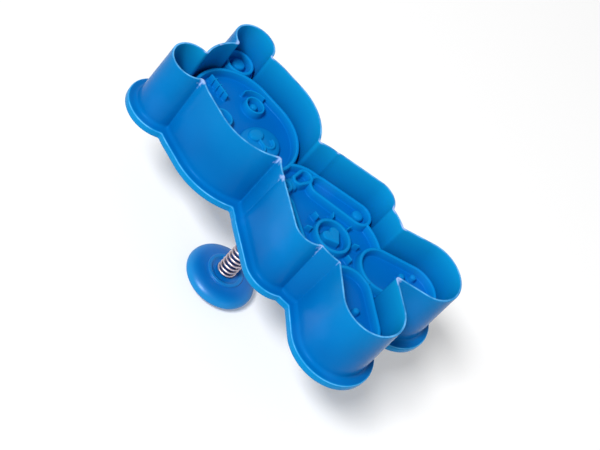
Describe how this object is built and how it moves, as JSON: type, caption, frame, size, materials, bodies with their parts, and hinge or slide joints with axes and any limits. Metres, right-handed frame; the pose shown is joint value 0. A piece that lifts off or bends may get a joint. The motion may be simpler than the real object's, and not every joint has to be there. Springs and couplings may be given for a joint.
{
  "type": "plunger cutter",
  "caption": "Teddy bear shaped plunger cutter for rolled dough or icing: a thin wall cuts, and a sprung stamp embosses and pushes the piece out.",
  "frame": {"origin": "on the plunger's axis, at the flat of the knob, which is the middle of the underside of the part's box", "axes": "+Z along the plunger from the knob to the cutting edge, +Y from the bear's feet to its ears, X across the bear"},
  "size_m": [0.0494, 0.0972, 0.054],
  "materials": {
    "blue_plastic": "smooth moulded gloss",
    "spring_wire": "bright drawn wire"
  },
  "bodies": {
    "cutter": {"cutter_body": "blue_plastic", "return_spring": "spring_wire"},
    "plunger": {"stamp": "blue_plastic", "knob": "blue_plastic"}
  },
  "joints": [
    {"name": "plunger_slide", "type": "slide", "parent": "cutter", "child": "plunger", "axis": [0, 0, 1], "range_m": [0, 0.01], "stiffness_N_per_m": 400, "springref_m": -0.003, "deforming": ["return_spring"]}
  ]
}
